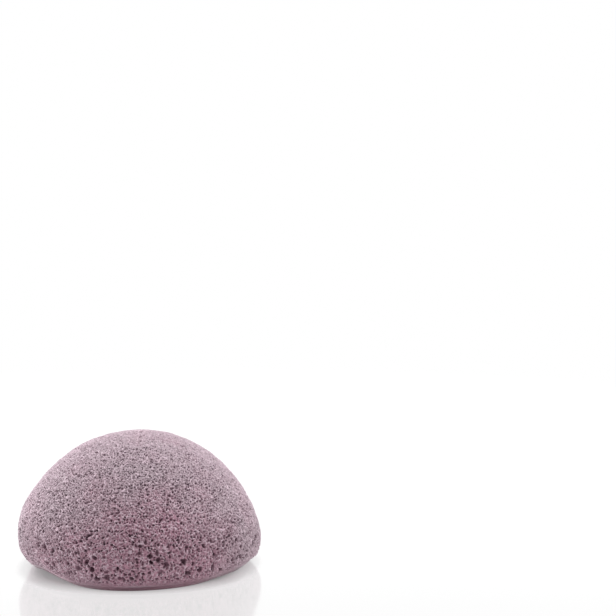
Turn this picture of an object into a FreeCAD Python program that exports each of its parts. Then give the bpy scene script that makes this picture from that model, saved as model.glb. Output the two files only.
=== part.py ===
"""A half-ball konjac facial sponge, in millimetres, +Z up, resting on its flat side at z = 0.

The sponge is one moulding with two zones. The open-cell dome is everything above the closed base skin,
and the base skin is the thin layer that seals the flat side and rolls up round the lower rim.
Both are turned about the Z axis from one meridian: a crown arc, a shoulder arc and a tucked-in lip arc.
"""
import FreeCAD
import Part

import math
import os

import Sketcher

OUT_FOLDER = "parts"
FULL_TURN = 360.0
LEVEL_TOLERANCE = 0.001  # an edge whose ends differ by less lies level

# Driving dimensions, in millimetres, and one angle
SIZES = {
    "diameter": 80.0,          # across the widest level of the dome
    "height": 44.0,            # from the flat side to the top of the crown
    "widest_height": 9.0,      # level at which the dome is widest
    "shoulder_angle": 29.5,    # degrees that the shoulder arc turns before the crown arc takes over
    "lip_radius": 11.0,        # meridian radius below the widest level, where the rim tucks in
    "skin_thickness": 2.2,     # height of the closed base skin at the rim
    "edge_radius": 1.2,        # rounding of the skin's lower edge
}

# Numbers that sketches give to the points of a curve and to their own axes
START, END, CENTRE = range(1, 4)
HORIZONTAL_AXIS, VERTICAL_AXIS = range(-1, -3, -1)
ORIGIN = (HORIZONTAL_AXIS, START)


def make_sheet(doc):
    """A spreadsheet with one named cell for each driving dimension."""
    sheet = doc.addObject("Spreadsheet::Sheet", "dims")
    for row, (name, value) in enumerate(SIZES.items(), start=1):
        sheet.set(f"A{row}", name)
        sheet.set(f"B{row}", str(value))
        sheet.setAlias(f"B{row}", name)
    doc.recompute()
    return sheet


def vector(x, y):
    """A point of a sketch."""
    return FreeCAD.Vector(x, y, 0)


def arc(centre, radius, low, high):
    """An arc of a sketch, anticlockwise between two angles in radians."""
    circle = Part.Circle(centre, FreeCAD.Vector(0, 0, 1), radius)
    return Part.ArcOfCircle(circle, low, high)


def arc_radii(sheet):
    """Radii of the crown arc and the shoulder arc.

    The shoulder arc starts upright at the widest level, the crown arc ends level on the axis, and where they
    meet, at the shoulder angle, they share a point and a slope: two linear equations for the two radii.
    """
    reach = sheet.diameter / 2
    rise = sheet.height - sheet.widest_height
    sine = math.sin(math.radians(sheet.shoulder_angle))
    cosine = math.cos(math.radians(sheet.shoulder_angle))
    divisor = sine + cosine - 1
    crown_radius = (reach * sine - rise * (1 - cosine)) / divisor
    shoulder_radius = (rise * cosine - reach * (1 - sine)) / divisor
    return crown_radius, shoulder_radius


def lip_angle(sheet, level):
    """Angle of the lip arc, below the horizontal, where it passes a level."""
    return -math.asin((sheet.widest_height - level) / sheet.lip_radius)


def meridian_sketch(body, name):
    """An empty sketch on the body's XZ plane, with sketch x outwards and sketch y up."""
    sketch = body.newObject("Sketcher::SketchObject", name)
    plane = next(o for o in body.Origin.OriginFeatures if o.Role == "XZ_Plane")
    sketch.AttachmentSupport = [(plane, "")]
    sketch.MapMode = "FlatFace"
    return sketch


def name_size(sketch, constraint, name, expression):
    """Adds a dimensional constraint and binds it to the sheet."""
    index = sketch.addConstraint(constraint)
    sketch.renameConstraint(index, name)
    sketch.setExpression(f"Constraints.{name}", expression)


def turn(body, sketch):
    """Revolves a meridian sketch through a full turn about the Z axis."""
    feature = body.newObject("PartDesign::Revolution", f"{body.Name}_turn")
    feature.Profile = sketch
    feature.ReferenceAxis = (sketch, ["V_Axis"])
    feature.Angle = FULL_TURN
    sketch.Visibility = False
    return feature


def dome_sketch(body, sheet):
    """Meridian of the dome: the axis, three arcs (crown, shoulder, lip) and the flat joint with the skin."""
    sketch = meridian_sketch(body, "dome_meridian")
    radius = sheet.diameter / 2
    crown_radius, shoulder_radius = arc_radii(sheet)
    crown_centre = vector(0, sheet.height - crown_radius)
    shoulder_centre = vector(radius - shoulder_radius, sheet.widest_height)
    lip_centre = vector(radius - sheet.lip_radius, sheet.widest_height)
    meeting = math.radians(sheet.shoulder_angle)
    joint_angle = lip_angle(sheet, sheet.skin_thickness)
    joint_radius = lip_centre.x + sheet.lip_radius * math.cos(joint_angle)

    axis = sketch.addGeometry(Part.LineSegment(vector(0, sheet.skin_thickness), vector(0, sheet.height)))
    crown = sketch.addGeometry(arc(crown_centre, crown_radius, meeting, math.pi / 2))
    shoulder = sketch.addGeometry(arc(shoulder_centre, shoulder_radius, 0, meeting))
    lip = sketch.addGeometry(arc(lip_centre, sheet.lip_radius, joint_angle, 0))
    joint = sketch.addGeometry(
        Part.LineSegment(vector(joint_radius, sheet.skin_thickness), vector(0, sheet.skin_thickness))
    )

    sketch.addConstraint(
        [
            Sketcher.Constraint("Coincident", axis, END, crown, END),
            Sketcher.Constraint("Tangent", crown, START, shoulder, END),
            Sketcher.Constraint("Coincident", shoulder, START, lip, END),
            Sketcher.Constraint("Coincident", lip, START, joint, START),
            Sketcher.Constraint("Coincident", joint, END, axis, START),
            Sketcher.Constraint("PointOnObject", axis, START, VERTICAL_AXIS),
            Sketcher.Constraint("PointOnObject", axis, END, VERTICAL_AXIS),
            Sketcher.Constraint("PointOnObject", crown, CENTRE, VERTICAL_AXIS),
            Sketcher.Constraint("Horizontal", shoulder, CENTRE, shoulder, START),
            Sketcher.Constraint("Horizontal", lip, CENTRE, lip, END),
            Sketcher.Constraint("Horizontal", joint),
        ]
    )
    widest = (shoulder, START)
    name_size(
        sketch,
        Sketcher.Constraint("DistanceX", *ORIGIN, *widest, radius),
        "widest_radius",
        "dims.diameter / 2",
    )
    name_size(
        sketch,
        Sketcher.Constraint("DistanceY", *ORIGIN, *widest, sheet.widest_height),
        "widest_height",
        "dims.widest_height",
    )
    name_size(
        sketch,
        Sketcher.Constraint("DistanceY", *ORIGIN, axis, END, sheet.height),
        "crown_top",
        "dims.height",
    )
    name_size(
        sketch,
        Sketcher.Constraint("DistanceY", *ORIGIN, axis, START, sheet.skin_thickness),
        "skin_top",
        "dims.skin_thickness",
    )
    name_size(
        sketch,
        Sketcher.Constraint("Angle", shoulder, meeting),
        "shoulder_turn",
        "dims.shoulder_angle * 1 deg",
    )
    name_size(
        sketch,
        Sketcher.Constraint("Radius", lip, sheet.lip_radius),
        "lip",
        "dims.lip_radius",
    )
    return sketch


def skin_sketch(body, sheet):
    """Meridian of the base skin: the flat side, the foot of the lip arc, and the joint with the dome."""
    sketch = meridian_sketch(body, "skin_meridian")
    lip_centre = vector(sheet.diameter / 2 - sheet.lip_radius, sheet.widest_height)
    foot_angle = lip_angle(sheet, 0)
    joint_angle = lip_angle(sheet, sheet.skin_thickness)
    foot_radius = lip_centre.x + sheet.lip_radius * math.cos(foot_angle)
    joint_radius = lip_centre.x + sheet.lip_radius * math.cos(joint_angle)

    flat = sketch.addGeometry(Part.LineSegment(vector(0, 0), vector(foot_radius, 0)))
    lip = sketch.addGeometry(arc(lip_centre, sheet.lip_radius, foot_angle, joint_angle))
    joint = sketch.addGeometry(
        Part.LineSegment(vector(joint_radius, sheet.skin_thickness), vector(0, sheet.skin_thickness))
    )
    axis = sketch.addGeometry(Part.LineSegment(vector(0, sheet.skin_thickness), vector(0, 0)))

    sketch.addConstraint(
        [
            Sketcher.Constraint("Coincident", flat, START, *ORIGIN),
            Sketcher.Constraint("Coincident", flat, END, lip, START),
            Sketcher.Constraint("Coincident", lip, END, joint, START),
            Sketcher.Constraint("Coincident", joint, END, axis, START),
            Sketcher.Constraint("Coincident", axis, END, flat, START),
            Sketcher.Constraint("Horizontal", flat),
            Sketcher.Constraint("Horizontal", joint),
            Sketcher.Constraint("Vertical", axis),
        ]
    )
    name_size(
        sketch,
        Sketcher.Constraint("DistanceX", *ORIGIN, lip, CENTRE, lip_centre.x),
        "lip_centre_out",
        "dims.diameter / 2 - dims.lip_radius",
    )
    name_size(
        sketch,
        Sketcher.Constraint("DistanceY", *ORIGIN, lip, CENTRE, sheet.widest_height),
        "lip_centre_up",
        "dims.widest_height",
    )
    name_size(
        sketch,
        Sketcher.Constraint("Radius", lip, sheet.lip_radius),
        "lip",
        "dims.lip_radius",
    )
    name_size(
        sketch,
        Sketcher.Constraint("DistanceY", *ORIGIN, axis, START, sheet.skin_thickness),
        "skin_top",
        "dims.skin_thickness",
    )
    return sketch


def make_dome(doc, sheet):
    """The open-cell dome, which the hand holds and the face is rubbed with."""
    body = doc.addObject("PartDesign::Body", "open_cell_dome")
    turn(body, dome_sketch(body, sheet))
    return body


def foot_edge(shape):
    """Name of the edge round the flat side: the lowest one of those that lie level."""
    names = {f"Edge{number}": edge for number, edge in enumerate(shape.Edges, start=1)}
    flat = {name: edge for name, edge in names.items() if edge.BoundBox.ZLength < LEVEL_TOLERANCE}
    return min(flat, key=lambda name: flat[name].CenterOfMass.z)


def make_skin(doc, sheet):
    """The closed base skin, with its lower edge rounded."""
    body = doc.addObject("PartDesign::Body", "base_skin")
    turned = turn(body, skin_sketch(body, sheet))
    doc.recompute()
    rounded = body.newObject("PartDesign::Fillet", "skin_edge")
    rounded.Base = (turned, [foot_edge(turned.Shape)])
    rounded.setExpression("Radius", "dims.edge_radius")
    return body


def check(doc, bodies):
    """Stops the build if an object failed or a sub-part is not one valid solid."""
    for item in doc.Objects:
        if "Invalid" in item.State or "Error" in item.State:
            raise RuntimeError(f"{item.Name} failed: {item.State}")
    for body in bodies:
        shape = body.Shape
        if shape.isNull() or not shape.isValid() or len(shape.Solids) != 1:
            raise RuntimeError(f"{body.Label} is not one valid solid")


def main():
    doc = FreeCAD.newDocument("konjac_sponge")
    sheet = make_sheet(doc)
    bodies = [make_dome(doc, sheet), make_skin(doc, sheet)]
    doc.recompute()
    check(doc, bodies)
    os.makedirs(OUT_FOLDER, exist_ok=True)
    for body in bodies:
        box = body.Shape.optimalBoundingBox()
        print(
            f"{body.Label}: {box.XLength:.2f} x {box.YLength:.2f} x {box.ZLength:.2f} mm,"
            f" z {box.ZMin:.2f} to {box.ZMax:.2f}, {body.Shape.Volume / 1000:.2f} cm3"
        )
        body.Shape.exportStep(f"{OUT_FOLDER}/{body.Label}.step")


main()
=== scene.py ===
# %% [markdown]
# # A half-ball konjac sponge
# This lesson dresses a imported CAD model: a moulded face sponge, 80 mm across, that stands on its flat side.
# The CAD gives two plain solids, the open-cell dome and the closed skin under it. Here both get the surface
# that a real konjac sponge has: thousands of round pores, thin walls between them, and a mauve dye that
# lies unevenly. The first cell loads the model and reads the sizes of its two solids from their boxes.

# %% Load the imported model
import math

import bpy
import numpy as np
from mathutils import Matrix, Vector


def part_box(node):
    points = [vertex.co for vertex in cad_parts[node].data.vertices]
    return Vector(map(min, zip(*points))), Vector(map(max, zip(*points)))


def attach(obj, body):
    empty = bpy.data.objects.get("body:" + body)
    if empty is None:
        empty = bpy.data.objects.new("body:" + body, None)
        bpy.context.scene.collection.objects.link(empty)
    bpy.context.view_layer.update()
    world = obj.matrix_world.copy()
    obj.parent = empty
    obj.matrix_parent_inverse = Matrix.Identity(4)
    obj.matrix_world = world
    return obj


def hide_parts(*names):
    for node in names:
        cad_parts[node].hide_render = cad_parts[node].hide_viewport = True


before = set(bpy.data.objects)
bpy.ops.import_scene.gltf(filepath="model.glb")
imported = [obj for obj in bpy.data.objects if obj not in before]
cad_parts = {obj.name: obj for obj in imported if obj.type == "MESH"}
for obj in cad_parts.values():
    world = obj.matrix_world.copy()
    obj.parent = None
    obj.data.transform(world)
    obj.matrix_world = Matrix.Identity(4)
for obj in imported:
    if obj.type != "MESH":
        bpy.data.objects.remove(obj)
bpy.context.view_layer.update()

_, DOME_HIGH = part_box("open_cell_dome")
_, SKIN_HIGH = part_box("base_skin")

# %% [markdown]
# ## The camera
# The photograph was taken from a little above the table with a long lens, so the sponge shows little
# perspective. The place and the tilt below come from fitting the sponge's outline. A camera in Blender looks
# along its own -Z axis, so a turn of 90 degrees about X makes it level, and a smaller turn tips it down.

# %% Camera
SENSOR_WIDTH = 36.0
FIELD_OF_VIEW = math.radians(24.0)
CAMERA_PLACE = (0.0568, -0.4787, 0.1283)
CAMERA_TIP = math.radians(5.08)
NEAREST_SEEN = 0.01


def add_camera():
    """A camera without shift or depth of field, tipped down from the level by CAMERA_TIP."""
    data = bpy.data.cameras.new("camera")
    data.sensor_width = SENSOR_WIDTH
    data.lens = SENSOR_WIDTH / 2 / math.tan(FIELD_OF_VIEW / 2)
    data.clip_start = NEAREST_SEEN
    camera = bpy.data.objects.new("camera", data)
    camera.location = CAMERA_PLACE
    camera.rotation_euler = (math.pi / 2 - CAMERA_TIP, 0, 0)
    bpy.context.scene.collection.objects.link(camera)
    bpy.context.scene.camera = camera
    return camera


camera = add_camera()
print(f"camera: lens {camera.data.lens:.1f} mm")

# %% [markdown]
# ## The outline
# A sponge like this is poured into a round mould and turned out of it, so one curve, spun round the upright
# axis, gives its whole shape. The curve is four arcs that run into each other without a corner: the broad
# crown, the tighter shoulder, the lip that tucks in under the widest level, and the rounded edge of the flat
# side. The same driving sizes as in the CAD place the arcs, so the dressed sponge lies on the solid.

# %% Driving sizes
MM = 0.001
RADIUS = DOME_HIGH.x
HEIGHT = DOME_HIGH.z
JOINT_LEVEL = SKIN_HIGH.z
WIDEST_LEVEL = 9.0 * MM
SHOULDER_TURN = math.radians(29.5)
LIP_RADIUS = 11.0 * MM
EDGE_RADIUS = 1.2 * MM
print(f"sponge {2 * RADIUS / MM:.1f} mm across and {HEIGHT / MM:.1f} mm high")


# %% Arcs of the outline
def outline_arcs():
    """Arcs as rows (centre out, centre up, radius, first angle, last angle), from the crown to the flat side.

    The crown and shoulder radii solve the two equations that say: same point and same slope at SHOULDER_TURN.
    The edge arc lies inside the lip arc and on the floor, so its centre is one lip radius less one edge
    radius from the lip's centre.
    """
    rise = HEIGHT - WIDEST_LEVEL
    sine, cosine = math.sin(SHOULDER_TURN), math.cos(SHOULDER_TURN)
    divisor = sine + cosine - 1
    crown = (RADIUS * sine - rise * (1 - cosine)) / divisor
    shoulder = (rise * cosine - RADIUS * (1 - sine)) / divisor
    lip_out = RADIUS - LIP_RADIUS
    edge_drop = WIDEST_LEVEL - EDGE_RADIUS
    edge_out = math.sqrt((LIP_RADIUS - EDGE_RADIUS) ** 2 - edge_drop**2)
    edge_angle = -math.atan2(edge_drop, edge_out)
    return np.array(
        [
            (0, HEIGHT - crown, crown, math.pi / 2, SHOULDER_TURN),
            (RADIUS - shoulder, WIDEST_LEVEL, shoulder, SHOULDER_TURN, 0),
            (lip_out, WIDEST_LEVEL, LIP_RADIUS, 0, edge_angle),
            (lip_out + edge_out, EDGE_RADIUS, EDGE_RADIUS, edge_angle, -math.pi / 2),
        ]
    )


ARCS = outline_arcs()
ARC_LENGTHS = ARCS[:, 2] * (ARCS[:, 3] - ARCS[:, 4])
ARC_STARTS = np.concatenate([[0], np.cumsum(ARC_LENGTHS)])
OUTLINE_LENGTH = ARC_STARTS[-1]
LIP_TURN_AT_JOINT = math.asin((WIDEST_LEVEL - JOINT_LEVEL) / LIP_RADIUS)
JOINT_TRAVEL = ARC_STARTS[2] + LIP_RADIUS * LIP_TURN_AT_JOINT
FLAT_RADIUS = ARCS[3, 0]
print(f"outline {OUTLINE_LENGTH / MM:.1f} mm from crown to flat side, skin from {JOINT_TRAVEL / MM:.1f} mm")


# %% A point of the surface
def on_outline(travel, angle):
    """Points and outward normals after a travel down the outline from the crown, at an angle round the axis.

    Along an arc the normal turns by travel over radius, and the point is the arc's centre plus radius times
    normal. Past the last arc the outline runs straight to the axis, along the flat side.
    """
    arc = np.clip(np.searchsorted(ARC_STARTS, travel, side="right") - 1, 0, len(ARCS) - 1)
    slope = ARCS[arc, 3] - (np.minimum(travel, OUTLINE_LENGTH) - ARC_STARTS[arc]) / ARCS[arc, 2]
    flat_run = np.maximum(travel - OUTLINE_LENGTH, 0)
    out = ARCS[arc, 0] + ARCS[arc, 2] * np.cos(slope) - flat_run
    up = ARCS[arc, 1] + ARCS[arc, 2] * np.sin(slope)
    points = np.stack([out * np.cos(angle), out * np.sin(angle), up], axis=-1)
    level = np.cos(slope)
    normals = np.stack([level * np.cos(angle), level * np.sin(angle), np.sin(slope)], axis=-1)
    return points, normals


widest, _ = on_outline(ARC_STARTS[2], 0)
print(f"widest {widest[0] / MM:.1f} mm out, at {widest[2] / MM:.1f} mm above the table")

# %% [markdown]
# ## A grid without a bad pole
# A globe's grid crowds its lines at the poles, and small pores would be torn there. So the top of the dome
# is a square grid bent into a disc: each square ring of the grid becomes a circle. Its rim has four times as
# many points as a side has cells, and a band with that many columns goes on from there.
# All cells come out about as large as each other, so pores are as sharp in one place as in another.

# %% Round grid
def round_grid(cells):
    """Share of the radius and angle of the points of a square grid bent into a disc.

    The share is the larger of the two grid coordinates, and the angle goes evenly along each square ring.
    """
    line = np.linspace(-1, 1, cells + 1)
    first, second = np.meshgrid(line, line, indexing="ij")
    share = np.maximum(abs(first), abs(second))
    wide = abs(first) >= abs(second)
    main = np.where(wide, first, second)
    other = np.where(wide, second, first)
    ratio = np.divide(other, main, out=np.zeros_like(main), where=main != 0)
    angle = np.where(wide, ratio, 2 - ratio) * math.pi / 4 + np.where(main < 0, math.pi, 0)
    return share, angle


def rim_of(cells):
    """Indices of the grid's outer points, in order of their angle, from the corner at minus 45 degrees."""
    number = np.arange((cells + 1) ** 2).reshape(cells + 1, cells + 1)
    return np.concatenate([number[-1, :-1], number[:0:-1, -1], number[0, :0:-1], number[:-1, 0]])


def grid_quads(number):
    """Corner numbers of the cells of a grid of point numbers: down the rows first, then along the columns."""
    corners = [number[:-1, :-1], number[1:, :-1], number[1:, 1:], number[:-1, 1:]]
    return np.stack(corners, axis=-1).reshape(-1, 4)


print(f"a disc of 4 by 4 cells has {len(rim_of(4))} points on its rim")

# %% Shell of a disc, a band and a lid
def shell_grid(cells, rows, start, rim, end):
    """Travel and angle of a shell's points: a disc from start to rim, then rows of a band on to end."""
    share, angle = round_grid(cells)
    columns = angle.ravel()[rim_of(cells)]
    levels = np.linspace(rim, end, rows + 1)[1:]
    travel = np.concatenate([(start + share * (rim - start)).ravel(), np.repeat(levels, len(columns))])
    turn = np.concatenate([angle.ravel(), np.tile(columns, rows)])
    return travel, turn


def shell_faces(cells, rows):
    """Quads of the disc and the band, and triangles of the lid, whose middle is one point after the rest."""
    disc = np.arange((cells + 1) ** 2).reshape(cells + 1, -1)
    columns = 4 * cells
    below = disc.size + np.arange(rows * columns).reshape(rows, columns)
    band = np.vstack([rim_of(cells)[None], below])
    band = np.hstack([band, band[:, :1]])
    middle = np.full(columns, disc.size + below.size)
    lid = np.stack([middle, band[-1, 1:], band[-1, :-1]], axis=-1)
    return [grid_quads(disc), grid_quads(band), lid]


print("faces of a shell of 4 cells and 2 rows:", [len(block) for block in shell_faces(4, 2)])

# %% [markdown]
# ## A flat map for baked pictures
# A model that goes on to another program carries its colours as a picture, and the map says which spot of
# the picture belongs to which face. The grids are flat already, so they are laid out as they are: the disc
# as one square, the band cut into four strips beside it, and the lid, which is hidden, as a small round.

# %% Map
MAP_NAME = "OFBake"
MAP_GAP = 8
LID_SHARE = 0.1


def shell_map(cells, rows):
    """Map points of a shell's face corners, in cells of the grid, scaled to the unit square at the end."""
    u, v = np.meshgrid(np.arange(cells + 1), np.arange(cells + 1), indexing="ij")
    disc = grid_quads(np.arange(u.size).reshape(u.shape))
    disc_map = np.stack([u.ravel()[disc], v.ravel()[disc]], axis=-1)
    row, column = np.meshgrid(np.arange(rows), np.arange(4 * cells), indexing="ij")
    strip = column // cells
    left = np.where(strip == 0, 0, cells + MAP_GAP) + column % cells
    low = np.where(strip == 0, cells + MAP_GAP, (strip - 1) * (rows + MAP_GAP)) + row
    steps = ((0, 0), (0, 1), (1, 1), (1, 0))
    band_map = np.stack([np.stack([left + du, low + dv], axis=-1) for du, dv in steps], axis=2)
    turn = np.linspace(0, 2 * math.pi, 4 * cells + 1)
    lid_radius = LID_SHARE * cells
    lid_middle = np.array([lid_radius, cells + rows + 2 * MAP_GAP + lid_radius])
    ring = lid_middle + lid_radius * np.stack([np.cos(turn), np.sin(turn)], axis=-1)
    lid_map = np.stack([np.broadcast_to(lid_middle, (4 * cells, 2)), ring[1:], ring[:-1]], axis=1)
    flat = np.concatenate([block.reshape(-1, 2) for block in (disc_map, band_map, lid_map)])
    return (flat + MAP_GAP) / (2 * cells + 3 * MAP_GAP)


print("map points of a shell of 4 cells and 2 rows:", len(shell_map(4, 2)))

# %% [markdown]
# ## From arrays to a mesh
# Blender takes whole arrays of corners and faces at once, which is far quicker than adding them one by one.
# The measures that the pores leave on each point go along as named values, for the finish to read.

# %% Mesh from arrays
def add_shell(name, points, faces, map_points, values, inside_out):
    """A mesh object at the origin, from point and face arrays, a map, and values of the points by name.

    A shell whose grid runs upwards comes out inside out, so its corners are taken in the opposite order.
    Quads are shaded smooth, and the triangles of the lid flat.
    """
    corner_map = np.split(map_points, np.cumsum([block.size for block in faces])[:-1])
    if inside_out:
        faces = [block[:, ::-1] for block in faces]
        corner_map = [m.reshape(*b.shape, 2)[:, ::-1].reshape(-1, 2) for m, b in zip(corner_map, faces)]
    corners = np.concatenate([block.ravel() for block in faces])
    sizes = np.concatenate([np.full(len(block), block.shape[1]) for block in faces])
    mesh = bpy.data.meshes.new(name)
    mesh.vertices.add(len(points))
    mesh.vertices.foreach_set("co", points.astype(np.float32).ravel())
    mesh.loops.add(len(corners))
    mesh.loops.foreach_set("vertex_index", corners.astype(np.int32))
    mesh.polygons.add(len(sizes))
    mesh.polygons.foreach_set("loop_start", (np.cumsum(sizes) - sizes).astype(np.int32))
    mesh.update(calc_edges=True)
    mesh.polygons.foreach_set("use_smooth", sizes == 4)
    layer = mesh.uv_layers.new(name=MAP_NAME)
    layer.data.foreach_set("uv", np.concatenate(corner_map).astype(np.float32).ravel())
    for key, numbers in values.items():
        attribute = mesh.attributes.new(key, "FLOAT", "POINT")
        attribute.data.foreach_set("value", numbers.astype(np.float32))
    piece = bpy.data.objects.new(name, mesh)
    bpy.context.scene.collection.objects.link(piece)
    return piece


# %% [markdown]
# ## Repeatable randomness
# Pores have to be scattered without a pattern, and still be the same in each run. So a block of space around
# the sponge is divided into cubes, and a generator with a fixed seed gives each cube its own random numbers.
# A point looks up the cube that it lies in, and the cubes around that one.

# %% Cubes of random numbers
MARGIN_CUBES = 2
BLOCK_LOW = np.array([-RADIUS, -RADIUS, 0]) - MM
BLOCK_SIZE = np.array([2 * RADIUS, 2 * RADIUS, HEIGHT]) + 2 * MM
ONE_STEP = (-1, 0, 1)
NEIGHBOURS = np.array([(x, y, z) for x in ONE_STEP for y in ONE_STEP for z in ONE_STEP])
CORNERS = np.array([(x, y, z) for x in (0, 1) for y in (0, 1) for z in (0, 1)])


def random_cubes(cube, numbers, seed):
    """Random numbers from 0 to 1 for each cube of the block, with spare cubes outside it on all sides."""
    counts = np.ceil(BLOCK_SIZE / cube).astype(int) + 2 * MARGIN_CUBES + 1
    return np.random.default_rng(seed).random((*counts, numbers))


def cube_of(points, cube, counts):
    """Row of each point's cube in the flattened block, and the steps in rows along the three axes."""
    cell = np.floor((points - BLOCK_LOW) / cube).astype(int) + MARGIN_CUBES
    strides = np.array([counts[1] * counts[2], counts[2], 1])
    return cell @ strides, strides


def smooth_step(values):
    """0 below 0, 1 above 1, and an S-shaped curve between."""
    held = np.clip(values, 0, 1)
    return held * held * (3 - 2 * held)


def soft_noise(points, size, seed, numbers=1):
    """Smooth noise from -1 to 1: numbers at the corners of cubes of a size, blended by closeness."""
    block = random_cubes(size, numbers, seed)
    home, strides = cube_of(points, size, block.shape[:3])
    scaled = (points - BLOCK_LOW) / size
    inside = smooth_step(scaled - np.floor(scaled))
    table = block.reshape(-1, numbers)
    total = np.zeros((len(points), numbers))
    for corner in CORNERS:
        weight = np.prod(np.where(corner, inside, 1 - inside), axis=-1)
        total += weight[:, None] * table[home + corner @ strides]
    return 2 * total - 1


print(f"noise at the widest point {soft_noise(widest[None], MM, seed=1)[0, 0]:.2f}")

# %% [markdown]
# ## Hand-made unevenness
# No two sponges leave the mould quite alike: they dry, get squeezed and swell again. A few broad swellings
# and hollows, each a soft bell curve on the surface, give this one its slightly lopsided outline. On one side
# its rim has curled up a little and no longer touches the table. A thin bead runs along the rim, where the
# two halves of the mould met.

# %% Unevenness
# direction in degrees round the axis, level, width and amount, in millimetres
SWELLINGS = [
    (180, 13.0, 11.0, 0.6),
    (180, 27.0, 14.0, -0.2),
    (0, 5.0, 8.0, 1.0),
    (0, 24.0, 15.0, -0.55),
    (250, 36.0, 16.0, 0.2),
    (0, 44.0, 18.0, 0.2),
    (0, 36.0, 12.0, -0.4),
]
CURLED_RIM = [
    (182, 3.5, 9.0, -2.3),
    (212, 0.5, 10.0, -1.6),
    (226, 0.0, 11.0, -1.6),
    (325, 0.0, 9.0, -0.6),
]
RIPPLE_SIZE = 13.0 * MM
RIPPLE_AMOUNT = 0.22 * MM
LUMP_SIZE = 2.8 * MM
LUMP_AMOUNT = 0.16 * MM
SETTLED_LEVEL = 4.0 * MM
BEAD_LEVEL = 2.0 * MM
BEAD_WIDTH = 0.30 * MM
BEAD_HEIGHT = 0.26 * MM
BEAD_PRESENCE = 0.5
GROOVE_DEPTH = 0.06 * MM
GROOVE_DROP = 2.0
BEAD_LENGTH = 9.0 * MM
BEAD_WANDER = 0.35 * MM
OUTLINE_SAMPLES = 400
OUTLINE_STEPS = np.linspace(0, OUTLINE_LENGTH, OUTLINE_SAMPLES)
OUTLINE_LEVELS = on_outline(OUTLINE_STEPS, 0)[0][:, 2]


def bells(points, spots):
    """Sum of bell curves on the surface, each of a direction, level and width, times its amount."""
    total = np.zeros(len(points))
    for direction, level, width, amount in spots:
        travel = np.interp(level * MM, OUTLINE_LEVELS[::-1], OUTLINE_STEPS[::-1])
        centre, _ = on_outline(travel, math.radians(direction))
        away = np.sum((points - centre) ** 2, axis=-1) / (width * MM) ** 2
        total += amount * np.exp(-away)
    return total


def mould_seam(points):
    """Two measures from 0 to 1: a thin bead where the halves of the mould met, and the groove under it.

    Both are bell curves over the height, and soft noise lets them wander and break off along the rim.
    The groove lies GROOVE_DROP bead widths lower.
    """
    wander, strength = soft_noise(points, BEAD_LENGTH, seed=6, numbers=2).T
    above = (points[:, 2] - BEAD_LEVEL - BEAD_WANDER * wander) / BEAD_WIDTH
    present = smooth_step(BEAD_PRESENCE + strength)
    return present * np.exp(-(above**2)), present * np.exp(-((above + GROOVE_DROP) ** 2))


def unevenness(points):
    """Outward move of surface points: swellings, ripple and lumps above the table, the curl and the seam."""
    ripple = RIPPLE_AMOUNT * soft_noise(points, RIPPLE_SIZE, seed=3)[:, 0]
    lumps = LUMP_AMOUNT * soft_noise(points, LUMP_SIZE, seed=4)[:, 0]
    move = ripple + lumps + MM * bells(points, SWELLINGS)
    settled = move * smooth_step(points[:, 2] / SETTLED_LEVEL)
    bead, groove = mould_seam(points)
    return settled + MM * bells(points, CURLED_RIM) + BEAD_HEIGHT * bead - GROOVE_DEPTH * groove


print(f"widest point moves by {unevenness(widest[None])[0] / MM:.2f} mm")

# %% [markdown]
# ## Cells
# The sponge is a foam: bubbles that grew in konjac jelly until only thin walls were left between them. The
# natural pattern for that is a division of space in which every point belongs to the nearest of many
# scattered seeds. The walls lie half-way between neighbouring seeds, and the surface cuts through the cells
# at any height, so it shows large and small openings side by side. Fewer seeds low down make larger cells
# there, because the jelly sets last at the base.

# %% Seeds of the cells
CELL_CUBE = 0.84 * MM
SEEDS_AT_BASE = 0.46
SEEDS_AT_CROWN = 0.90
CROWN_SHARE = 0.8
SEED_SPREAD = 0.9
OUT_OF_REACH = 1.0
WALL_BLEND = 0.06 * MM


def cell_seeds():
    """Seed places and one random number for each cube. Some cubes have no seed: theirs lies out of reach."""
    block = random_cubes(CELL_CUBE, 5, seed=21)
    counts = block.shape[:3]
    address = np.stack(np.indices(counts), axis=-1) - MARGIN_CUBES
    places = BLOCK_LOW + (address + 0.5 + SEED_SPREAD * (block[..., :3] - 0.5)) * CELL_CUBE
    height = smooth_step(places[..., 2] / (CROWN_SHARE * HEIGHT))
    wanted = SEEDS_AT_BASE + (SEEDS_AT_CROWN - SEEDS_AT_BASE) * height
    places[block[..., 3] > wanted] = OUT_OF_REACH
    return places.reshape(-1, 3), block[..., 4].ravel(), counts


def cell_walls(points):
    """Distance of each point from the walls of its cell, and the random number of that cell.

    The wall between seeds a and b is the plane half-way between them. A point p of the cell of a lies
    (|p-b|2 - |p-a|2) / (2 |b-a|) from it. The distances d to all walls are blended into one softly, as
    -k log(sum of exp(-d/k)), which rounds the corners of the cells as the skin of a bubble does.
    """
    places, chance, counts = cell_seeds()
    home, strides = cube_of(points, CELL_CUBE, counts)
    own = np.full(len(points), np.inf)
    own_row = home.copy()
    for step in NEIGHBOURS @ strides:
        square = np.sum((points - places[home + step]) ** 2, axis=-1)
        closer = square < own
        own = np.where(closer, square, own)
        own_row = np.where(closer, home + step, own_row)
    closeness = np.zeros(len(points))
    own_place = places[own_row]
    for step in NEIGHBOURS @ strides:
        other = places[home + step]
        apart = np.linalg.norm(other - own_place, axis=-1)
        square = np.sum((points - other) ** 2, axis=-1)
        distance = np.divide(square - own, 2 * apart, out=np.full(len(points), np.inf), where=apart > 0)
        closeness += np.exp(-distance / WALL_BLEND)
    return -WALL_BLEND * np.log(closeness), chance[own_row]


print(f"widest point lies {cell_walls(widest[None])[0][0] / MM:.2f} mm from the walls of its cell")

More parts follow.
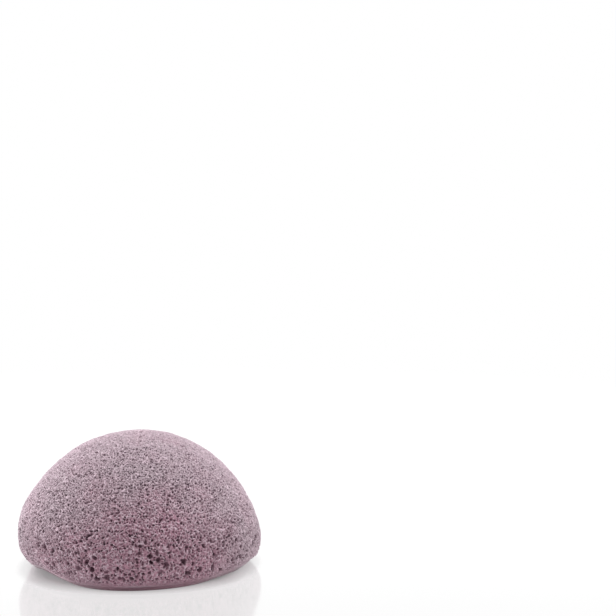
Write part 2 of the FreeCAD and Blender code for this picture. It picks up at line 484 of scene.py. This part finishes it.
# %% [markdown]
# ## Round pores
# Here and there bubbles ran together into a round hole. Small holes are scattered over the whole dome, and
# large ones lie in its lower half. Each is a ball at a random spot of its cube. Where the surface passes
# through a ball, it drops to the far side of it.

# %% Balls
FIRST_BALL_SEED = 31
BALL_FOOT = 4.3 * MM
BALL_DEEPEST = 1.3 * MM
BALL_RIM = 0.16 * MM
# size of the cubes, least and greatest radius, share of the cubes with a ball at the base and above a level,
# and that level, with lengths in millimetres
BALL_KINDS = [
    (2.4, 0.60, 1.10, 0.62, 0.00, 21.0),
    (1.45, 0.28, 0.54, 0.70, 0.55, 38.0),
]


def ball_table(kind, seed):
    """Centres and radii of the balls of a kind, one row for each cube. An empty cube has a radius of zero."""
    cube, least, greatest, low, high, top = kind
    block = random_cubes(cube * MM, 5, seed)
    address = np.stack(np.indices(block.shape[:3]), axis=-1) - MARGIN_CUBES
    centres = BLOCK_LOW + (address + block[..., :3]) * cube * MM
    level = centres[..., 2]
    wanted = low + (high - low) * smooth_step((level - BALL_FOOT) / (top * MM - BALL_FOOT))
    present = (block[..., 3] < wanted) & (level > BALL_FOOT)
    radii = np.where(present, least + (greatest - least) * block[..., 4], 0) * MM
    return centres.reshape(-1, 3), radii.ravel(), block.shape[:3]


def ball_depth(points, normals):
    """Depth to the far side of the balls that hold each point, measured against the normal.

    A point at distance d from the centre, and a along the normal, has the depth a + sqrt(r2 - d2 + a2).
    """
    depth = np.zeros(len(points))
    for seed, kind in enumerate(BALL_KINDS, start=FIRST_BALL_SEED):
        centres, radii, counts = ball_table(kind, seed)
        home, strides = cube_of(points, kind[0] * MM, counts)
        for step in NEIGHBOURS @ strides:
            radius = radii[home + step]
            offset = points - centres[home + step]
            along = np.sum(offset * normals, axis=-1)
            square = np.sum(offset * offset, axis=-1)
            through = along + np.sqrt(np.maximum(radius**2 - square + along**2, 0))
            rim = smooth_step((radius - np.sqrt(square)) / BALL_RIM)
            depth = np.maximum(depth, np.clip(through, 0, BALL_DEEPEST) * rim)
    return depth


for seed, kind in enumerate(BALL_KINDS, start=FIRST_BALL_SEED):
    print(f"{np.count_nonzero(ball_table(kind, seed)[1])} balls of up to {kind[2]} mm in the block")

# %% [markdown]
# ## Open and closed patches
# The wall of the mould presses the outermost bubbles flat, so not every cell is open to the outside. The
# crown and one side are the most closed. Near the base, where the jelly set last, most cells are open. The
# measure closedness says how it stands at a point, and slow noise keeps the patches from looking neat. A
# patch with a strength below zero is more open than the rest.

# %% Closedness
# direction in degrees round the axis, level, width in millimetres, and strength
CLOSED_PATCHES = [
    (0, 44.0, 17.0, 0.3),
    (200, 17.0, 16.0, 0.7),
    (312, 9.0, 14.0, -0.7),
    (345, 17.0, 14.0, -0.6),
]
MOST_OPEN = -0.6
CLOSED_NOISE_SIZE = 7.0 * MM
CLOSED_NOISE = 0.40
CLOSED_HIGH = 0.16
CLOSED_FROM = 8.0 * MM
CLOSED_FULL = 24.0 * MM


def closedness(points):
    """How closed the surface is, from MOST_OPEN to 1: more with height, stirred by noise, and in patches."""
    high = CLOSED_HIGH * smooth_step((points[:, 2] - CLOSED_FROM) / (CLOSED_FULL - CLOSED_FROM))
    stir = CLOSED_NOISE * soft_noise(points, CLOSED_NOISE_SIZE, seed=7)[:, 0]
    return np.clip(np.clip(high + stir, 0, 1) + bells(points, CLOSED_PATCHES), MOST_OPEN, 1)


crown_point, _ = on_outline(np.zeros(1), np.zeros(1))
print(f"closedness at the crown {closedness(crown_point)[0]:.2f}")

# %% [markdown]
# ## The porous surface
# Between the pores the jelly dried into a fine maze of curly ridges, which catch the light from above. Soft
# noise passes through zero along such curls, so the ridges stand where the noise is nearly zero. Then all
# comes together: each point of the smooth outline is moved along its normal, out to a ridge or down a pore.

# %% Ridges
RIDGE_SIZE = 0.60 * MM
RIDGE_HEIGHT = 0.34 * MM
RIDGE_REACH = 0.40


def ridges(points):
    """Height of the curly ridges from 0 to 1: highest where soft noise passes through zero."""
    noise = soft_noise(points, RIDGE_SIZE, seed=41)[:, 0]
    return smooth_step(1 - abs(noise) / RIDGE_REACH)


print(f"ridge measure at the widest point {ridges(widest[None])[0]:.2f}")

# %% Porous surface
SHAKE_SIZE = 0.9 * MM
SHAKE_AMOUNT = 0.22 * MM
WALL_HALF = 0.06 * MM
WALL_SLOPE = 0.20 * MM
CELL_DEPTH = 0.95 * MM
SHALLOWEST = 0.20
OPEN_POWER = 2.0
CLOSED_POWER = 3.5
PORE_FOOT = 1.6 * MM
PORE_FADE = 2.4 * MM
PIT_SCALE = 0.50 * MM
GROOVE_SHADE = 0.25


def porous(points, normals):
    """Points moved onto the porous surface, with measures of painted pore shade and painted ridge highlight.

    The round pores are cut first and the cells into what they leave, so that large pores show cells inside.
    Before the cuts the points are shaken by soft noise, which bends the walls. A cell sinks by its own share
    of CELL_DEPTH within WALL_SLOPE of its walls. That share is its random number to a power, and the power
    grows with closedness, so that fewer cells are deep. Pores and ridges fade out towards the closed skin.
    """
    surface = points + normals * unevenness(points)[:, None]
    shaken = surface + SHAKE_AMOUNT * soft_noise(surface, SHAKE_SIZE, seed=5, numbers=3)
    large = ball_depth(shaken, normals)
    wall, chance = cell_walls(shaken - normals * large[:, None])
    power = OPEN_POWER + (CLOSED_POWER - OPEN_POWER) * closedness(points)
    opened = SHALLOWEST + (1 - SHALLOWEST) * chance**power
    fade = smooth_step((points[:, 2] - PORE_FOOT) / PORE_FADE)
    depth = fade * (large + CELL_DEPTH * opened * smooth_step((wall - WALL_HALF) / WALL_SLOPE))
    ridge = fade * ridges(surface) * np.exp(-depth / PIT_SCALE)
    moved = surface + normals * (RIDGE_HEIGHT * ridge - depth)[:, None]
    bead, groove = mould_seam(points)
    # Painted shade: the colour darkens with the depth of the pores, and in the groove under the bead.
    pit_shade = np.maximum(1 - np.exp(-depth / PIT_SCALE), GROOVE_SHADE * groove)
    # Painted highlight: the ridges and the bead get a lighter colour, as if they caught the light from above.
    return moved, pit_shade, np.maximum(ridge, bead)


moved_crown, _, _ = porous(crown_point, np.array([(0, 0, 1)]))
print(f"crown point moved from {HEIGHT / MM:.2f} to {moved_crown[0, 2] / MM:.2f} mm")

# %% [markdown]
# ## Uneven dye
# The sponge is coloured with a mineral powder that settles while the jelly sets. It is pinker low down and
# greyer on the crown. The blush measure says how pink a point is: soft bell curves and slow noise.
# On the closed skin the powder lies in thin level streaks, drawn out as the jelly shrank away from the mould.

# %% Blush and streaks
# direction in degrees round the axis, level, width in millimetres, and strength
BLUSHES = [
    (285, 14.0, 15.0, 0.75),
    (262, 5.0, 22.0, 0.80),
    (308, 6.0, 18.0, 0.70),
    (228, 5.0, 12.0, 0.50),
    (80, 9.0, 24.0, 0.60),
]
BLUSH_NOISE_SIZE = 6.0 * MM
BLUSH_NOISE = 0.30
STREAK_LENGTH = 7.0 * MM
STREAK_HEIGHT = 0.45 * MM
STREAK_TOP = 3.6 * MM
STREAK_FOOT = 1.4 * MM


def blush_at(points):
    """Pinkness from 0 to 1: bell curves round the places where the dye settled, stirred by slow noise."""
    stir = BLUSH_NOISE * soft_noise(points, BLUSH_NOISE_SIZE, seed=71)[:, 0]
    return np.clip(bells(points, BLUSHES) + stir, 0, 1)


def streaks_at(points):
    """Darkness of the streaks from 0 to 1: soft noise drawn out sideways.

    The streaks fade out up to STREAK_TOP and down from STREAK_FOOT to the table.
    """
    drawn_out = points * (1, 1, STREAK_LENGTH / STREAK_HEIGHT)
    noise = soft_noise(np.minimum(drawn_out, HEIGHT), STREAK_LENGTH, seed=81)[:, 0]
    fade = smooth_step(points[:, 2] / STREAK_FOOT) * (1 - smooth_step(points[:, 2] / STREAK_TOP))
    return (1 + noise) / 2 * fade


print(f"blush at the crown {blush_at(crown_point)[0]:.2f}")

# %% [markdown]
# ## The two pieces
# The dome runs from the crown down to the joint with the skin, and the skin from the middle of the flat side
# out and up to the same joint. Each is closed by a flat lid at the joint, inside the sponge. Both are made by
# one function, because the moulding has one surface: only the start, the grid and the way round differ.

# %% Porous shells
DOME_CELLS = 500
DOME_ROWS = 250
DOME_RIM_TRAVEL = 34.0 * MM
SKIN_CELLS = 250
SKIN_ROWS = 26


def build_shell(name, cells, rows, start, rim, inside_out):
    """A porous shell with its measures. Its disc runs from start to rim, and its band on to the joint."""
    grid = shell_grid(cells, rows, start, rim, JOINT_TRAVEL)
    # Two measures are painted light: shade in the pores and groove, and highlight on the ridges and bead.
    moved, pit_shade, crest_highlight = porous(*on_outline(*grid))
    measures = {"pit_shade": pit_shade, "crest_highlight": crest_highlight, "blush": blush_at(moved), "streak": streaks_at(moved)}
    values = {key: np.append(numbers, 0) for key, numbers in measures.items()}
    points = np.vstack([moved, [(0, 0, JOINT_LEVEL)]])
    return add_shell(name, points, shell_faces(cells, rows), shell_map(cells, rows), values, inside_out)


dome = build_shell("foam_dome", DOME_CELLS, DOME_ROWS, 0, DOME_RIM_TRAVEL, False)
skin = build_shell("foam_skin", SKIN_CELLS, SKIN_ROWS, OUTLINE_LENGTH + FLAT_RADIUS, OUTLINE_LENGTH, True)
for piece in (dome, skin):
    print(f"{piece.name}: {len(piece.data.vertices)} points, {len(piece.data.polygons)} faces")

# %% [markdown]
# ## The sponge's finish
# Moist konjac is matt and a little velvety. Its colour comes from the measures on the points: the mauve
# of the walls, a painted shade of deeper plum in the pores, and a painted highlight on the ridges and bead.
# Colours are written as the numbers that a screen shows, and turned into the linear ones of a shader.

# %% Colours
def from_screen(red, green, blue):
    """A shader's linear colour from the 0 to 255 numbers that a screen shows, by the usual screen curve."""
    shares = np.array([red, green, blue]) / 255
    linear = np.where(shares <= 0.04045, shares / 12.92, ((shares + 0.055) / 1.055) ** 2.4)
    return (*linear, 1.0)


GREY_MAUVE = from_screen(177, 157, 166)
PINK_MAUVE = from_screen(187, 140, 158)
# Plum for the painted shade in the pores and groove, and for the dye of the streaks.
SHADE_AND_STREAK_PLUM = from_screen(90, 53, 71)
# Light tint and its strength for the painted highlight on the ridges and bead.
CREST_HIGHLIGHT = from_screen(214, 190, 202)
CREST_HIGHLIGHT_STRENGTH = 0.85
STREAK_STRENGTH = 0.50
WHITE = (1, 1, 1, 1)
BLACK = (0, 0, 0, 1)
print("grey mauve in linear numbers", [round(float(v), 3) for v in GREY_MAUVE[:3]])

# %% Nodes for colours and numbers
# numbers of the sockets of a mix of two colours
MIX_AMOUNT, MIX_FIRST, MIX_SECOND = 0, 6, 7
MIX_RESULT = 2


def put(tree, value, socket):
    """Gives a node's input a value: a link from another node's socket, or a plain number or colour."""
    if isinstance(value, bpy.types.NodeSocket):
        tree.links.new(value, socket)
    else:
        socket.default_value = value


def mix_colours(tree, amount, first, second):
    """The socket of a mix of two colours."""
    node = tree.nodes.new("ShaderNodeMix")
    node.data_type = "RGBA"
    put(tree, amount, node.inputs[MIX_AMOUNT])
    put(tree, first, node.inputs[MIX_FIRST])
    put(tree, second, node.inputs[MIX_SECOND])
    return node.outputs[MIX_RESULT]


def combine(tree, operation, first, second):
    """The socket of two numbers combined by an operation, such as MULTIPLY or MAXIMUM."""
    node = tree.nodes.new("ShaderNodeMath")
    node.operation = operation
    put(tree, first, node.inputs[0])
    put(tree, second, node.inputs[1])
    return node.outputs[0]


def remap(tree, value, low, high, start=0, end=1):
    """The socket of a number that goes from low to high while the value goes from start to end."""
    node = tree.nodes.new("ShaderNodeMapRange")
    put(tree, value, node.inputs["Value"])
    for name, number in (("From Min", start), ("From Max", end), ("To Min", low), ("To Max", high)):
        node.inputs[name].default_value = number
    return node.outputs["Result"]


def measure(tree, name):
    """The socket of one of the mesh's own point values."""
    node = tree.nodes.new("ShaderNodeAttribute")
    node.attribute_name = name
    return node.outputs["Fac"]


# %% [markdown]
# ### Fibres and velvet
# Under a lens the walls are fibrous. The fibres are finer than the mesh, so noise in the shader stands for
# them: it tips the surface a little and makes it moister in one spot than in the next. Sheen adds the soft
# light that velvet has along its edges. The closed skin is smoother than the cells, so its grain is lower.

# %% Matt konjac
GRAIN_SIZE = 0.35 * MM
GRAIN_HEIGHT = 0.15 * MM
GRAIN_DETAIL = 2
FOAM_GRAIN = 0.40
SKIN_GRAIN = 0.25
MOIST = 0.45
DRY = 0.85
FAINT_GLOSS = 0.35
VELVET = 0.25
VELVET_SPREAD = 0.6


def grain_noise(tree):
    """The socket of fine noise in the sponge's own coordinates."""
    place = tree.nodes.new("ShaderNodeTexCoord")
    noise = tree.nodes.new("ShaderNodeTexNoise")
    noise.inputs["Scale"].default_value = 1 / GRAIN_SIZE
    noise.inputs["Detail"].default_value = GRAIN_DETAIL
    tree.links.new(place.outputs["Object"], noise.inputs["Vector"])
    return noise.outputs["Fac"]


def konjac_colour(tree):
    """The socket of the colour from the mesh's measures: dye, painted crest highlight, painted pore shade,
    streaks.
    """
    dyed = mix_colours(tree, measure(tree, "blush"), GREY_MAUVE, PINK_MAUVE)
    # Painted highlight on the ridges and the bead.
    crest_highlight = combine(tree, "MULTIPLY", measure(tree, "crest_highlight"), CREST_HIGHLIGHT_STRENGTH)
    highlighted = mix_colours(tree, crest_highlight, dyed, CREST_HIGHLIGHT)
    # Painted shade in the pores and the groove.
    pitted = mix_colours(tree, measure(tree, "pit_shade"), highlighted, SHADE_AND_STREAK_PLUM)
    streak = combine(tree, "MULTIPLY", measure(tree, "streak"), STREAK_STRENGTH)
    return mix_colours(tree, streak, pitted, SHADE_AND_STREAK_PLUM)


def matt_konjac(name, grain_strength):
    """A matt, slightly velvety material with the colours of the measures and a fine grain."""
    material = bpy.data.materials.new(name)
    material.use_nodes = True
    tree = material.node_tree
    shader = tree.nodes["Principled BSDF"]
    shader.inputs["Specular IOR Level"].default_value = FAINT_GLOSS
    shader.inputs["Sheen Weight"].default_value = VELVET
    shader.inputs["Sheen Roughness"].default_value = VELVET_SPREAD
    tree.links.new(konjac_colour(tree), shader.inputs["Base Color"])
    grain = grain_noise(tree)
    tree.links.new(remap(tree, grain, MOIST, DRY), shader.inputs["Roughness"])
    bump = tree.nodes.new("ShaderNodeBump")
    bump.inputs["Strength"].default_value = grain_strength
    bump.inputs["Distance"].default_value = GRAIN_HEIGHT
    tree.links.new(grain, bump.inputs["Height"])
    tree.links.new(bump.outputs["Normal"], shader.inputs["Normal"])
    return material


for piece, finish, node, slot in (
    (dome, matt_konjac("open_cell_konjac", FOAM_GRAIN), "open_cell_dome", "open_cell_foam"),
    (skin, matt_konjac("closed_konjac_skin", SKIN_GRAIN), "base_skin", "closed_skin"),
):
    piece.data.materials.append(finish)
    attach(piece, "root")
    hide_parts(node)
    print(f"{piece.name} is finished in {finish.name}")

# %% [markdown]
# ## Floor and light
# The sponge lies on a plain white table that is glossy enough for a faint reflection. Light comes softly from
# above and a little behind, and from both sides, so the crown and the flanks are lighter than the front.
# Only the strip under its rim shows the real shadow. Around it the table glows evenly to the camera, with the
# reflection on top, and far away it is plain white, so that no edge shows between table and background.

# %% Floor
FLOOR_HALF = 6.0
FLOOR_LEVEL = -0.02 * MM
FLOOR_WHITE = (0.72, 0.72, 0.72, 1)
FLOOR_BOUNCE = (0.85, 0.85, 0.85, 1)
FLOOR_ROUGHNESS = 0.12
FLOOR_GLOSS = 0.8
FLOOR_GLOW = 0.15
EVEN_GLOW = 0.74
FRONT_STRETCH = (1.0, 1.2, 1.0)
SIDE_STRETCH = (1.12, 1.0, 1.0)
NO_STRETCH = (1.0, 1.0, 1.0)
SHADE_FULL = 0.037
SHADE_END = 0.048
FAR_FROM = 0.12
FAR_FULL = 0.50


def floor_distance(tree, stretch):
    """The socket of the distance from the middle of the floor, with each axis stretched by a factor."""
    place = tree.nodes.new("ShaderNodeTexCoord")
    stretched = tree.nodes.new("ShaderNodeVectorMath")
    stretched.operation = "MULTIPLY"
    stretched.inputs[1].default_value = stretch
    tree.links.new(place.outputs["Object"], stretched.inputs[0])
    length = tree.nodes.new("ShaderNodeVectorMath")
    length.operation = "LENGTH"
    tree.links.new(stretched.outputs[0], length.inputs[0])
    return length.outputs["Value"]


def floor_finish():
    """White that the camera sees lit near the sponge, evenly glowing around it, and plain far away.

    The lit part is what two ovals share, so it is narrow in front of the sponge and beside it.
    """
    material = bpy.data.materials.new("table_white")
    material.use_nodes = True
    tree = material.node_tree
    shader = tree.nodes["Principled BSDF"]
    shader.inputs["Roughness"].default_value = FLOOR_ROUGHNESS
    shader.inputs["Specular IOR Level"].default_value = FLOOR_GLOSS
    shader.inputs["Emission Color"].default_value = WHITE
    seen = tree.nodes.new("ShaderNodeLightPath").outputs["Is Camera Ray"]
    away = combine(tree, "MAXIMUM", floor_distance(tree, FRONT_STRETCH), floor_distance(tree, SIDE_STRETCH))
    lit = remap(tree, away, 1, 0, SHADE_FULL, SHADE_END)
    shown = mix_colours(tree, lit, BLACK, FLOOR_WHITE)
    tree.links.new(mix_colours(tree, seen, FLOOR_BOUNCE, shown), shader.inputs["Base Color"])
    glow = combine(tree, "MULTIPLY", seen, remap(tree, lit, EVEN_GLOW, FLOOR_GLOW))
    tree.links.new(glow, shader.inputs["Emission Strength"])
    far = remap(tree, floor_distance(tree, NO_STRETCH), 0, 1, FAR_FROM, FAR_FULL)
    white = tree.nodes.new("ShaderNodeEmission")
    blend = tree.nodes.new("ShaderNodeMixShader")
    tree.links.new(combine(tree, "MULTIPLY", far, seen), blend.inputs[0])
    tree.links.new(shader.outputs[0], blend.inputs[1])
    tree.links.new(white.outputs[0], blend.inputs[2])
    tree.links.new(blend.outputs[0], tree.nodes["Material Output"].inputs["Surface"])
    return material


def add_floor():
    """A large square just under the sponge."""
    signs = ((-1, -1), (1, -1), (1, 1), (-1, 1))
    corners = [(x * FLOOR_HALF, y * FLOOR_HALF, FLOOR_LEVEL) for x, y in signs]
    mesh = bpy.data.meshes.new("table")
    mesh.from_pydata(corners, [], [(0, 1, 2, 3)])
    mesh.materials.append(floor_finish())
    table = bpy.data.objects.new("table", mesh)
    bpy.context.scene.collection.objects.link(table)
    return table


print(f"{add_floor().name} {2 * FLOOR_HALF:.0f} m wide")

# %% Lights
LIGHT_AIM = Vector((0, 0, 0.02))
# name, place in metres, size in metres and power in watts
LIGHTS = [
    ("top_light", (0.0, 0.12, 0.9), 0.25, 6.3),
    ("left_light", (-0.8, 0.1, 0.22), 0.4, 4.25),
    ("right_light", (0.8, 0.1, 0.22), 0.4, 2.5),
]


def add_light(name, place, size, power):
    """A square soft light at a place, turned to face the sponge."""
    data = bpy.data.lights.new(name, "AREA")
    data.size = size
    data.energy = power
    light = bpy.data.objects.new(name, data)
    light.location = place
    light.rotation_euler = (LIGHT_AIM - Vector(place)).to_track_quat("-Z", "Y").to_euler()
    bpy.context.scene.collection.objects.link(light)


for light in LIGHTS:
    add_light(*light)
print(f"{len(LIGHTS)} lights")

# %% World
WORLD_LIGHT = 0.29


def set_world():
    """White to the camera and in reflections, and an even soft light for the rest."""
    world = bpy.data.worlds.new("studio")
    bpy.context.scene.world = world
    world.use_nodes = True
    tree = world.node_tree
    background = tree.nodes["Background"]
    background.inputs["Color"].default_value = WHITE
    path = tree.nodes.new("ShaderNodeLightPath")
    mirrored = combine(tree, "MAXIMUM", path.outputs["Is Glossy Ray"], path.outputs["Is Transmission Ray"])
    seen = combine(tree, "MAXIMUM", path.outputs["Is Camera Ray"], mirrored)
    tree.links.new(remap(tree, seen, WORLD_LIGHT, 1), background.inputs["Strength"])


set_world()
bpy.context.scene.view_settings.view_transform = "Standard"
print(f"even light of strength {WORLD_LIGHT}")
